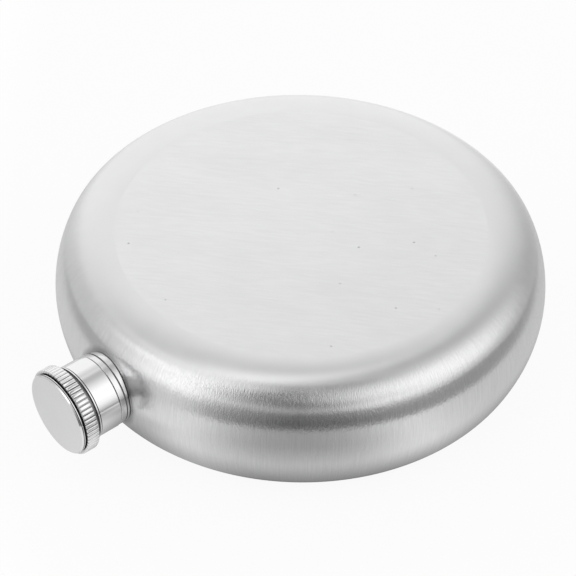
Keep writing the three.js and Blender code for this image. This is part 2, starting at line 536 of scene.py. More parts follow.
class Turning:
    """Turns a closed outline round the neck's axis into a mesh with true normals."""

    SEGMENTS = 96
    EASE_STEPS = 4
    ON_AXIS = 1e-6  # a radius below this is none

    def __init__(self, saddle: Callable[[float, float], float] | None = None) -> None:
        """Keeps the rule for saddled corners."""
        self.saddle = saddle

    def _outline(self, corners: list[Corner]) -> list[OutlinePoint]:
        """Rounds the corners and works out the ways between them.

        Args:
            corners: from the foot of the outer side outwards along the neck and back through the bore.

        Returns:
            The points of the closed outline.
        """
        places = [Vector((corner.radius, corner.station)) for corner in corners]
        nexts = places[1:] + places[:1]
        ways = [(after - place).normalized() for place, after in zip(places, nexts)]
        points: list[OutlinePoint] = []
        for i, corner in enumerate(corners):
            come, go, place = ways[i - 1], ways[i], places[i]
            if corner.ease:
                for step in range(self.EASE_STEPS + 1):
                    share = step / self.EASE_STEPS
                    spot = place - come * corner.ease * (1 - share) ** 2 + go * corner.ease * share**2
                    way = (come * (1 - share) + go * share).normalized()
                    points.append(OutlinePoint(spot, way, way, corner.finish, corner.saddled))
            else:
                points.append(OutlinePoint(place, come, go, corner.finish, corner.saddled))
            begin, end = place + go * corner.ease, nexts[i] - go * corners[(i + 1) % len(corners)].ease
            for row in range(1, corner.rows):
                points.append(OutlinePoint(begin.lerp(end, row / corner.rows), go, go, corner.finish, False))
        return points

    def mesh(self, name: str, corners: list[Corner]) -> Mesh:
        """Builds the turned mesh.

        Args:
            name: the mesh's name.
            corners: the closed outline's corners.

        Returns:
            The mesh, with a material index for each surface.
        """
        outline = self._outline(corners)
        angles = [TURN * j / self.SEGMENTS for j in range(self.SEGMENTS)]
        vertices: list[Point] = []
        rings: list[range] = []
        for point in outline:
            radius, station = point.spot
            count = self.SEGMENTS if radius > self.ON_AXIS else 1
            rings.append(range(len(vertices), len(vertices) + count))
            for angle in angles[:count]:
                x, z = radius * math.cos(angle), radius * math.sin(angle)
                lift = self.saddle(x, z) if point.saddled and self.saddle else 0.0
                vertices.append((x * MM, -(lift + station) * MM, (AXIS_HEIGHT + z) * MM))

        faces: list[list[int]] = []
        normals: list[Point] = []
        finishes: list[int] = []
        for point, after, low, high in zip(outline, outline[1:] + outline[:1], rings, rings[1:] + rings[:1]):
            if len(low) == len(high) == 1:
                continue
            for j in range(self.SEGMENTS):
                k = (j + 1) % self.SEGMENTS
                loop = [(low, j, point.go), (low, k, point.go), (high, k, after.come), (high, j, after.come)]
                if len(low) == 1:
                    loop.pop(1)
                elif len(high) == 1:
                    loop.pop(2)
                faces.append([ring[index % len(ring)] for ring, index, _ in loop])
                finishes.append(point.finish)
                for _, index, way in loop:
                    normals.append((way.y * math.cos(angles[index]), way.x, way.y * math.sin(angles[index])))
        mesh = bpy.data.meshes.new(name)
        mesh.from_pydata(vertices, [], faces)
        mesh.polygons.foreach_set("material_index", finishes)
        mesh.polygons.foreach_set("use_smooth", [True] * len(faces))
        mesh.update()
        mesh.normals_split_custom_set(normals)
        return mesh


def new_piece(mesh: Mesh, *finishes: Material) -> Object:
    """Makes an object of a mesh and gives it its finishes.

    Args:
        mesh: the mesh, whose name the object takes.
        finishes: the materials in the order of the mesh's material indices.

    Returns:
        The object.
    """
    piece = bpy.data.objects.new(mesh.name, mesh)
    bpy.context.scene.collection.objects.link(piece)
    for finish in finishes:
        mesh.materials.append(finish)
    return piece


def fit(piece: Object, part: Part, node: str) -> None:
    """Puts a finished piece on its body in place of its CAD node.

    Args:
        piece: the piece.
        part: the body that it rides on.
        node: the CAD node that it stands for.
    """
    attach(piece, part.value)
    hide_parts(node)
    log.info("%s: %d faces, on %s, for %s", piece.name, len(piece.data.polygons), part.value, node)


@dataclass
class FlaskBody:
    """The two drawn half shells, which meet at mid thickness."""

    ZONES = 3.0  # wall, shoulder and flat
    DRAWN = 0.7  # a face whose normal is within this cosine of the rule's is drawn, and the rest is cut

    diameter: float = 100.0
    thickness: float = 2 * AXIS_HEIGHT
    sheet: float = 0.7
    shoulder: float = 8.2
    wall_lean: float = 23.7  # degrees
    edge_run: float = 8.5  # from the shoulder's corner to where the flat begins
    edge_fullness: float = 1.184  # how closely the shoulder follows its corner
    hole: float = 6.55  # radius of the hole for the collar
    columns: int = 240
    zone_rows: int = 20  # in each of wall, shoulder and flat
    patch_columns: int = 16  # of the columns, round the hole
    patch_rings: int = 6

    # the wall's finish carries painted shade round the collar's foot
    wall_finish: Finish = Finish(
        "brushed_wall", (0.80, 0.80, 0.805), 0.205, grain=Grain.OVER_WALL, grain_size=0.27, grain_length=0.9,
        grain_depth=0.03, grain_fade=(11.5, 13.4), line_length=7, anisotropy=0.8, line_spread=0.1,
        rough_spread=0.26, mottle_size=5, collar_painted_shade=0.45,
    )
    face_finish: Finish = Finish(
        "satin_face", (0.80, 0.80, 0.805), 0.2, grain=Grain.STRAIGHT, grain_size=0.3, grain_length=4,
        grain_turn=40, grain_depth=0.0003, tone_spread=0.04, line_spread=0.06, mottle_size=8,
        mottle_stretch=1.5, speck_gap=6,
    )

    @property
    def wall_radius(self) -> float:
        """Radius of the bulging wall's section."""
        lean = math.radians(self.wall_lean)
        return self.shoulder + (self.thickness / 2 - self.shoulder) / math.sin(lean)

    def wall_station(self, x: float, z: float) -> float:
        """How far along the neck the wall is, at a place across the neck's axis.

        Args:
            x: to the right of the axis.
            z: above the axis.

        Returns:
            The station, from the body's axis.
        """
        bulge = self.wall_radius
        out = self.diameter / 2 - bulge + math.sqrt(bulge * bulge - z * z)
        return math.sqrt(out * out - x * x)

    def shell_tree(self) -> GeometryTree:
        """The rule of a half shell: a round wall, a shoulder and a flat, with a ringed grid round the hole.

        Points are first laid out by angle round the body and by zone, 0 to 1 on the wall, 1 to 2 on the
        shoulder and 2 to 3 on the flat, and then put on the turned surface.

        Returns:
            The tree.
        """
        tree = GeometryTree("Turned half shell")
        radius, half, shoulder, lean, run, fullness, sheet, hole, over = tree.given(
            "Body Radius", "Half Thickness", "Shoulder Radius", "Wall Lean", "Edge Run", "Edge Fullness",
            "Sheet", "Hole Radius", "Turn Over",
        )
        columns, rows, patch, rings = tree.given(
            "Columns", "Zone Rows", "Patch Columns", "Patch Rings", kind="Int"
        )
        wall_finish, face_finish = tree.given("Wall Finish", "Face Finish", kind="Material")
        bulge = shoulder + (half - shoulder) / tree.sin(lean)

        # the grid of the whole shell, about its middle, without the patch round the hole
        middle = self.ZONES / 2
        round_body, zone, _ = tree.parts(tree.position())
        patch_half = math.pi * patch / columns
        in_patch = tree.math("LESS_THAN", tree.math("ABSOLUTE", round_body), patch_half)
        in_patch = in_patch * tree.math("LESS_THAN", zone, 1.0 - middle)
        whole_grid = tree.grid(TURN, self.ZONES, columns, rows * self.ZONES)
        cut = {"Geometry": whole_grid, "Selection": in_patch}
        kept = tree.moved(tree.out("GeometryNodeDeleteGeometry", cut, domain="FACE"), Offset=(0, middle, 0))

        # the patch: rings from the hole to the patch's edge, step by step along that edge
        edge_count = rows * 2.0 + patch
        along, away, _ = tree.parts(tree.position())
        step, share = along + edge_count / 2.0, away + 0.5
        edge_angle = patch_half * (tree.held((step - rows) / patch) * 2.0 - 1.0)
        edge_zone = tree.math("MINIMUM", tree.math("MINIMUM", step, edge_count - step) / rows, 1.0)
        edge_side, edge_up = radius * tree.sin(edge_angle), bulge * tree.sin(edge_zone * lean)
        bearing = tree.math("ARCTAN2", edge_up, edge_side)
        hole_side, hole_up = hole * tree.cos(bearing), hole * tree.sin(bearing)
        hole_lean = tree.math("ARCSINE", hole_up / bulge)
        hole_angle = tree.math("ARCSINE", hole_side / (radius - bulge + bulge * tree.cos(hole_lean)))
        hole_zone = hole_lean / lean
        laid_angle = hole_angle + (edge_angle - hole_angle) * share
        laid_zone = hole_zone + (edge_zone - hole_zone) * share
        laid = tree.vector(laid_angle, laid_zone, 0.0)
        ringed = tree.moved(tree.grid(edge_count, 1.0, edge_count, rings), Position=laid)
        flat_map = tree.joined(kept, ringed)

        # the section: an arc for the wall, a conic for the shoulder and a line for the flat
        angle, zone, _ = tree.parts(tree.position())
        on_wall = tree.held(zone) * lean
        on_shoulder = tree.held(zone - 1.0)
        to_middle = 1.0 - tree.held(zone - 2.0)
        rise = half - bulge * tree.sin(lean)
        inset = rise * tree.math("TANGENT", lean)
        foot, edge = (1.0 - on_shoulder) * (1.0 - on_shoulder), on_shoulder * on_shoulder
        between = on_shoulder * (1.0 - on_shoulder)
        corner = 2.0 * fullness * between
        whole = foot + corner + edge
        inward = (corner * inset + edge * (inset + run)) / whole
        out = radius - bulge + bulge * tree.cos(on_wall) - inward
        up = bulge * tree.sin(on_wall) + rise * (corner + edge) / whole
        going_in = fullness * foot * inset + between * (inset + run) + fullness * edge * run
        going_up = rise * (fullness * foot + between)
        facing = on_wall + tree.math("ARCTAN2", going_in, going_up) - lean

        # the skin, with what the finishes and the normals need noted on it
        sine, cosine = tree.sin(angle), tree.cos(angle)
        brush = tree.vector(angle / TURN + 0.5, zone / self.ZONES, 0.0)
        flat_map = tree.noted(flat_map, "brush", brush, "FLOAT2", "CORNER")
        flat_map = tree.noted(flat_map, "flat", tree.math("GREATER_THAN", zone, 2.0), "BOOLEAN", "FACE")
        outward = tree.vector(tree.cos(facing) * sine, tree.cos(facing) * cosine * -1.0, tree.sin(facing))
        flat_map = tree.noted(flat_map, "outward", outward, "FLOAT_VECTOR", "POINT")
        place = tree.vector(out * to_middle * sine, out * to_middle * cosine * -1.0, up)
        skin = tree.welded(tree.moved(flat_map, Position=place))

        # the inner side, and the whole shell in its place
        doubled = {"Mesh": skin, "Offset Scale": 0.0, "Individual": False}
        lining = tree.node("GeometryNodeExtrudeMesh", doubled, mode="FACES").outputs
        inwards = tree.scaled(tree.recalled("outward", "FLOAT_VECTOR"), sheet * -1.0)
        inner = tree.moved(lining["Mesh"], Selection=lining["Top"], Offset=inwards)
        shell = tree.welded(tree.joined(skin, tree.out("GeometryNodeFlipFaces", {"Mesh": inner})))
        stand = {"Translation": tree.vector(0.0, 0.0, half), "Rotation": tree.vector(0.0, over, 0.0)}
        placed = tree.out("GeometryNodeTransform", {"Geometry": shell} | stand)
        tree.closed_with(placed, (wall_finish, None), (face_finish, tree.recalled("flat", "BOOLEAN")))
        return tree

    def set_true_normals(self, mesh: Mesh, side: Side) -> None:
        """Shades the drawn surfaces by their rule and the cut edges flat, then drops the helper attributes.

        Args:
            mesh: a half shell.
            side: which one, because the rule's normals are those of the front.
        """
        mesh.polygons.foreach_set("use_smooth", [True] * len(mesh.polygons))
        turned = np.array(Matrix.Rotation(side.value, 3, "Y"))
        outward = np.array([point.vector for point in mesh.attributes["outward"].data]) @ turned.T
        ruled = outward[[loop.vertex_index for loop in mesh.loops]]
        flat = np.array([face.normal for face in mesh.polygons for _ in face.loop_indices])
        agree = (ruled * flat).sum(axis=1)[:, None]
        normals = np.where(agree > self.DRAWN, ruled, np.where(agree < -self.DRAWN, -ruled, flat))
        mesh.normals_split_custom_set(normals.tolist())
        for name in ("outward", "flat"):
            mesh.attributes.remove(mesh.attributes[name])

    def build(self) -> None:
        """Makes, dresses and fits both half shells."""
        tree = self.shell_tree()
        sizes = {
            "Body Radius": self.diameter / 2 * MM,
            "Half Thickness": self.thickness / 2 * MM,
            "Shoulder Radius": self.shoulder * MM,
            "Wall Lean": math.radians(self.wall_lean),
            "Edge Run": self.edge_run * MM,
            "Edge Fullness": self.edge_fullness,
            "Sheet": self.sheet * MM,
            "Hole Radius": self.hole * MM,
            "Columns": self.columns,
            "Zone Rows": self.zone_rows,
            "Patch Columns": self.patch_columns,
            "Patch Rings": self.patch_rings,
            "Wall Finish": self.wall_finish.material(),
            "Face Finish": self.face_finish.material(),
        }
        for side in Side:
            name = side.name.lower()
            shell = tree.made(f"shell_{name}", sizes | {"Turn Over": side.value})
            self.set_true_normals(shell.data, side)
            fit(shell, Part.FLASK, f"{name}_shell")


@dataclass
class Thread:
    """A round thread, rolled outwards on the spout or moulded inwards in the liner."""

    root: float  # radius of the plain surface
    height: float  # of the ridge, negative if it points inwards
    start: float  # station
    end: float
    phase: float = 0.0  # of a turn
    lead: float = 2.0
    fade: float = 1.2  # length over which the ridge rises and runs out
    sharp_angle: float = 40.0  # degrees

    def tree(self) -> GeometryTree:
        """The rule of a thread: points move along their radius by a wave that winds round the surface.

        Returns:
            The tree.
        """
        tree = GeometryTree("Round thread")
        root, height, start, end, phase, lead, fade, axis_height = tree.given(
            "Root", "Height", "Start", "End", "Phase", "Lead", "Fade", "Axis Height"
        )
        (finish,) = tree.given("Finish", kind="Material")
        x, y, z = tree.parts(tree.position())
        up, station = z - axis_height, y * -1.0
        radius = tree.math("SQRT", x * x + up * up)
        turn = tree.math("ARCTAN2", up, x)
        wave = tree.cos(((station - start) / lead - phase) * TURN - turn) * 0.5 + 0.5
        grown = tree.ramp(station, start, start + fade) * tree.ramp(station, end, end - fade)
        on_root = tree.math("LESS_THAN", tree.math("ABSOLUTE", radius - root), WELD)
        lift = wave * grown * height / radius
        offset = tree.vector(x * lift, 0.0, up * lift)
        moved = tree.moved(tree.start.outputs["Geometry"], Selection=on_root, Offset=offset)
        tree.closed_with(moved, (finish, None))
        return tree

    def cut(self, base: Mesh, finish: Material) -> Object:
        """Puts the thread on a turned mesh.

        Args:
            base: the turned mesh, with rows along its threaded surface.
            finish: its material.

        Returns:
            The threaded piece.
        """
        lengths = ("root", "height", "start", "end", "lead", "fade")
        values = {name.title(): getattr(self, name) * MM for name in lengths}
        values |= {"Axis Height": AXIS_HEIGHT * MM, "Phase": self.phase, "Finish": finish}
        name = base.name
        base.name = f"{name}_plain"
        plain = base.attributes.get("custom_normal")
        if plain is not None:
            base.attributes.remove(plain)
        piece = self.tree().made(name, values, base)
        piece.data.set_sharp_from_angle(angle=math.radians(self.sharp_angle))
        return piece


@dataclass
class Neck:
    """The collar welded round the mouth, and the threaded spout that it carries."""

    GROOVE = 1  # the number of the painted shade finish, in the collar's grooves and under its lower ring

    body: FlaskBody
    bore: float = 4.5
    spout: float = 5.3
    flange: float = 6.0
    flange_foot: float = 45.8
    collar_foot: float = 46.4
    collar_bore: float = 5.45
    spigot: float = 6.25
    ring: float = 7.5
    ring_seat: float = -0.05  # of the lower ring, from the wall's surface
    ring_foot: float = 0.15  # height of the line of painted shade under the lower ring
    groove: float = 7.2
    groove_foot: float = 49.98
    groove_top: float = 50.2
    collar_top: float = 51.38
    thread_height: float = 0.45
    thread_foot: float = 52.2
    thread_top: float = 57.9
    thread_rows: int = 60
    mouth: float = 58.3
    mouth_chamfer: float = 0.25

    finish: Finish = Finish(
        "turned_steel", (0.82, 0.82, 0.825), 0.13, grain=Grain.TURNED, grain_size=0.12, rough_spread=0.05,
        tone_spread=0.04,
    )
    # painted shade in the collar's grooves and under its lower ring
    groove_shade_finish: Finish = Finish(
        "groove_painted_shade", (0.45, 0.45, 0.455), 0.4, grain_size=0.3, rough_spread=0.1
    )

    def collar(self) -> Mesh:
        """The collar: a spigot through the wall, and two rings with a fine groove, saddled to the wall.

        Returns:
            The turned mesh.
        """
        corners = [
            Corner(self.spigot, self.collar_foot),
            Corner(self.spigot, self.ring_seat, finish=self.GROOVE, saddled=True),
            Corner(self.groove, self.ring_seat, finish=self.GROOVE, saddled=True),
            Corner(self.groove, self.ring_foot, saddled=True),
            Corner(self.ring, self.ring_foot, saddled=True),
            Corner(self.ring, self.groove_foot, ease=0.08, finish=self.GROOVE),
            Corner(self.groove, self.groove_foot, finish=self.GROOVE),
            Corner(self.groove, self.groove_top),
            Corner(self.ring, self.groove_top, ease=0.08),
            Corner(self.ring, self.collar_top, ease=0.1),
            Corner(self.collar_bore, self.collar_top, ease=0.08),
            Corner(self.collar_bore, self.collar_foot),
        ]
        return Turning(self.body.wall_station).mesh("collar_rings", corners)

    def spout_tube(self) -> Mesh:
        """The mouth tube before its thread is rolled.

        Returns:
            The turned mesh.
        """
        corners = [
            Corner(self.bore, self.flange_foot),
            Corner(self.flange, self.flange_foot),
            Corner(self.flange, self.collar_foot),
            Corner(self.spout, self.collar_foot),
            Corner(self.spout, self.thread_foot, rows=self.thread_rows),
            Corner(self.spout, self.thread_top),
            Corner(self.spout, self.mouth - self.mouth_chamfer),
            Corner(self.spout - self.mouth_chamfer, self.mouth, ease=0.06),
            Corner(self.bore, self.mouth, ease=0.1),
        ]
        return Turning().mesh("spout_tube", corners)

    def build(self) -> None:
        """Makes, dresses and fits the collar and the spout."""
        finish, painted_shade = self.finish.material(), self.groove_shade_finish.material()
        fit(new_piece(self.collar(), finish, painted_shade), Part.FLASK, "neck_collar")
        thread = Thread(self.spout, self.thread_height, self.thread_foot, self.thread_top)
        fit(thread.cut(self.spout_tube(), finish), Part.FLASK, "neck_spout")


@dataclass
class ScrewCap:
    """The cap: a polished sleeve, a fluted grip ring, an end disc, a threaded liner and a loose washer."""

    GROOVE = 1  # the number of the painted shade finish, in the sleeve's grooves
    DISC_EDGE, DISC_GROOVE = 1, 2  # and of two finishes on the disc: the bright one, and painted shade on its boss and fine line

    rim: float = 51.5
    skirt: float = 7.6
    skirt_top: float = 56.2
    lip_line: float = 7.4  # radius of the fine groove under the lip
    lip_foot: float = 56.4
    lip: float = 7.8
    lip_top: float = 56.75
    crown: float = 7.35
    sleeve_bore: float = 6.75
    sleeve_top: float = 60.6
    grip_bore: float = 7.5
    grip_foot: float = 57.75
    grip_top: float = 60.4
    flute_count: int = 60
    flute_root: float = 8.6
    flute_crest: float = 9.0
    flute_sharp: float = 32.0  # degrees from which an edge stays sharp
    rib_half: tuple[Span, ...] = (
        (0.0, 0.0), (0.3, 0.0), (0.6, 0.04), (0.72, 0.2), (0.8, 0.7), (0.88, 1.0), (1.0, 1.0),
    )  # from a rib's middle to a flute's, as shares of the half pitch and of the flute's depth
    end_chamfer: float = 0.22  # at both ends of the ribs
    end_round: Span = (0.3, 0.4)  # a point on the rounded chamfer, as shares of it along and inwards
    end_shade: float = 0.75  # painted shade on the ring's end beside the disc, where 1 is as dark as a flute
    disc: float = 8.4
    disc_boss: float = 7.9
    disc_foot: float = 60.72
    disc_bead: float = 60.95  # where the bead at the disc's foot ends in a fine line
    disc_line: float = 61.07  # where that line ends
    disc_line_depth: float = 0.2
    disc_face: float = 61.35
    disc_chamfer: float = 0.28
    liner: float = 6.6
    liner_bore: float = 5.95
    liner_rim: float = 51.8
    liner_top: float = 59.9
    seal: float = 5.8
    seal_foot: float = 58.3
    seal_top: float = 59.3
    thread_height: float = -0.45
    thread_foot: float = 52.3
    thread_top: float = 57.6
    thread_rows: int = 56

    finish: Finish = Finish("polished_steel", (0.88, 0.88, 0.885), 0.1, grain=Grain.TURNED, grain_size=0.1)
    # painted shade in the grooves of the sleeve and the disc
    groove_shade_finish: Finish = Finish(
        "groove_shade", (0.24, 0.24, 0.242), 0.3, grain_size=0.3, rough_spread=0.1
    )
    # painted shade darkens the flutes' roots and the ring's end beside the disc
    flute_finish: Finish = Finish(
        "fluted_steel", (0.93, 0.93, 0.935), 0.14, grain_size=0.2, rough_spread=0.06,
        recess_shade_colour=(0.4, 0.4, 0.404),
    )
    disc_finish: Finish = Finish(
        "satin_disc", (0.88, 0.88, 0.885), 0.32, grain_size=0.12, grain_depth=0.0008, rough_spread=0.08,
        mottle_size=5,
    )
    liner_finish: Finish = Finish(
        "moulded_liner", (0.86, 0.86, 0.83), 0.42, metal=False, grain_size=0.3, rough_spread=0.1,
        soft_glow=0.15,
    )
    seal_finish: Finish = Finish(
        "soft_seal", (0.82, 0.82, 0.8), 0.62, metal=False, grain_size=0.18, grain_depth=0.004,
        rough_spread=0.12, soft_glow=0.25,
    )

    def sleeve(self) -> Mesh:
        """The skirt, its small lip and the crown that carries the grip ring, closed at the top.

        Returns:
            The turned mesh.
        """
        corners = [
            Corner(self.sleeve_bore, self.rim, ease=0.08),
            Corner(self.skirt, self.rim, ease=0.16),
            Corner(self.skirt, self.skirt_top, ease=0.05, finish=self.GROOVE),
            Corner(self.lip_line, self.skirt_top, finish=self.GROOVE),
            Corner(self.lip_line, self.lip_foot),
            Corner(self.lip, self.lip_foot, ease=0.08),
            Corner(self.lip, self.lip_top, ease=0.08, finish=self.GROOVE),
            Corner(self.crown, self.lip_top, ease=0.12, finish=self.GROOVE),
            Corner(self.crown, self.sleeve_top, finish=self.GROOVE),
            Corner(0.0, self.sleeve_top),
            Corner(0.0, self.liner_top),
            Corner(self.sleeve_bore, self.liner_top),
        ]
        return Turning().mesh("cap_skirt", corners)

    def rib(self) -> Mesh:
        """One rib of the grip ring with half a flute at each side, as a slice of the ring about its own axis.

        Returns:
            The slice, with each point's painted shade noted: how deep it lies in a flute, or the end's shade.
        """
        crest, drop = self.flute_crest, self.flute_crest - self.flute_root
        across = [(-place, depth) for place, depth in self.rib_half[:0:-1]] + list(self.rib_half)
        foot, top, cut = self.grip_foot, self.grip_top, self.end_chamfer
        along, inward = (share * cut for share in self.end_round)
        rows = [(foot, cut), (foot + along, inward), (foot + cut, 0.0)]
        rows += [(top - cut, 0.0), (top - along, inward), (top, cut)]
        back = [(self.disc, top), (self.grip_bore, top), (self.grip_bore, foot)]

        vertices: list[Point] = []
        recess_shade: list[float] = []
        for place, depth in across:
            angle = place * (math.pi / self.flute_count)
            outline = [(min(crest - depth * drop, crest - limit), station, depth) for station, limit in rows]
            outline += [(radius, station, self.end_shade) for radius, station in back]
            for radius, station, painted_shade in outline:
                vertices.append((radius * math.cos(angle) * MM, -station * MM, radius * math.sin(angle) * MM))
                recess_shade.append(painted_shade)
        count = len(rows) + len(back)
        faces = []
        for i in range(0, (len(across) - 1) * count, count):
            for j in range(count):
                k = (j + 1) % count
                faces.append((i + j, i + count + j, i + count + k, i + k))
        mesh = bpy.data.meshes.new("rib")
        mesh.from_pydata(vertices, [], faces)
        mesh.attributes.new("recess_shade", "FLOAT", "POINT").data.foreach_set("value", recess_shade)
        return mesh

    def flute_tree(self) -> GeometryTree:
        """The rule of the grip ring: one rib repeated round the neck's axis and welded into a ring.

        Returns:
            The tree.
        """
        tree = GeometryTree("Ring of flutes")
        (axis_height,) = tree.given("Axis Height")
        (count,) = tree.given("Flute Count", kind="Int")
        (finish,) = tree.given("Finish", kind="Material")
        index = Rule(tree, tree.out("GeometryNodeInputIndex"))
        turn = {"Axis": (0.0, -1.0, 0.0), "Angle": index * TURN / count}
        spread = {
            "Points": tree.out("GeometryNodePoints", {"Count": count}),
            "Instance": tree.start.outputs["Geometry"],
            "Rotation": tree.out("FunctionNodeAxisAngleToRotation", turn),
        }
        ribs = tree.out("GeometryNodeInstanceOnPoints", spread)
        ring = tree.welded(tree.out("GeometryNodeRealizeInstances", {"Geometry": ribs}))
        lift = {"Geometry": ring, "Translation": tree.vector(0.0, 0.0, axis_height)}
        tree.closed_with(tree.out("GeometryNodeTransform", lift), (finish, None))
        return tree

    def grip_ring(self) -> Object:
        """The fluted ring.

        Returns:
            The ring, with its finish.
        """
        finish = self.flute_finish.material()
        values = {"Axis Height": AXIS_HEIGHT * MM, "Flute Count": self.flute_count, "Finish": finish}
        ring = self.flute_tree().made("cap_fluted_ring", values, self.rib())
        ring.data.polygons.foreach_set("use_smooth", [True] * len(ring.data.polygons))
        ring.data.set_sharp_from_angle(angle=math.radians(self.flute_sharp))
        return ring

    def end_disc(self) -> Mesh:
        """The flat end with its bright chamfer, on a low boss.

        Returns:
            The turned mesh.
        """
        corners = [
            Corner(0.0, self.sleeve_top, finish=self.DISC_GROOVE),
            Corner(self.disc_boss, self.sleeve_top, finish=self.DISC_GROOVE),
            Corner(self.disc_boss, self.disc_foot, finish=self.DISC_GROOVE),
            Corner(self.disc, self.disc_foot, ease=0.05, finish=self.DISC_EDGE),
            Corner(self.disc, self.disc_bead, ease=0.05, finish=self.DISC_GROOVE),
            Corner(self.disc - self.disc_line_depth, self.disc_bead, finish=self.DISC_GROOVE),
            Corner(self.disc - self.disc_line_depth, self.disc_line, finish=self.DISC_EDGE),
            Corner(self.disc, self.disc_line, finish=self.DISC_EDGE),
            Corner(self.disc - self.disc_chamfer, self.disc_face, ease=0.04),
            Corner(0.0, self.disc_face),
        ]
        return Turning().mesh("cap_face_disc", corners)

    def liner_cup(self) -> Mesh:
        """The moulded insert before its thread.

        Returns:
            The turned mesh.
        """
        corners = [
            Corner(self.liner_bore, self.liner_rim, ease=0.12),
            Corner(self.liner, self.liner_rim, ease=0.1),
            Corner(self.liner, self.liner_top),
            Corner(0.0, self.liner_top),
            Corner(0.0, self.seal_top),
            Corner(self.liner_bore, self.seal_top),
            Corner(self.liner_bore, self.thread_top, rows=self.thread_rows),
            Corner(self.liner_bore, self.thread_foot),
        ]
        return Turning().mesh("cap_thread_liner", corners)

    def washer(self) -> Mesh:
        """The soft washer with eased edges.

        Returns:
            The turned mesh.
        """
        corners = [
            Corner(0.0, self.seal_foot),
            Corner(self.seal, self.seal_foot, ease=0.2),
            Corner(self.seal, self.seal_top, ease=0.12),
            Corner(0.0, self.seal_top),
        ]
        return Turning().mesh("cap_washer", corners)

    def build(self, spout_thread_foot: float) -> None:
        """Makes, dresses and fits the cap's pieces.

        Args:
            spout_thread_foot: the station that the spout's thread is counted from, so that the two mesh.
        """
        polished, painted_shade = self.finish.material(), self.groove_shade_finish.material()
        fit(new_piece(self.sleeve(), polished, painted_shade), Part.CAP, "cap_sleeve")
        fit(self.grip_ring(), Part.CAP, "cap_grip_ring")
        disc = new_piece(self.end_disc(), self.disc_finish.material(), polished, painted_shade)
        fit(disc, Part.CAP, "cap_end_disc")
        phase = 0.5 - (self.thread_foot - spout_thread_foot) / Thread.lead  # half a turn from the spout's
        thread = Thread(self.liner_bore, self.thread_height, self.thread_foot, self.thread_top, phase)
        fit(thread.cut(self.liner_cup(), self.liner_finish.material()), Part.CAP, "cap_liner")
        fit(new_piece(self.washer(), self.seal_finish.material()), Part.SEAL, "cap_seal")


@dataclass(frozen=True)
class SoftBox:
    """A large lamp or screen with soft edges, as it is seen from the flask."""

    bearing: float  # degrees to the right of the camera
    elevation: float  # degrees
    half_width: float  # degrees
    half_height: float
    glow: float  # where 1 is white
    soft_across: float  # width of its soft edge, as a share of the half width
    soft_up: float  # the same, of the half height


@dataclass(frozen=True)
class Glow:
    """A broad patch of the room that is lighter or darker than the rest."""

    bearing: float  # degrees to the right of the camera
    elevation: float
    gain: float  # in its middle
    narrowness: float


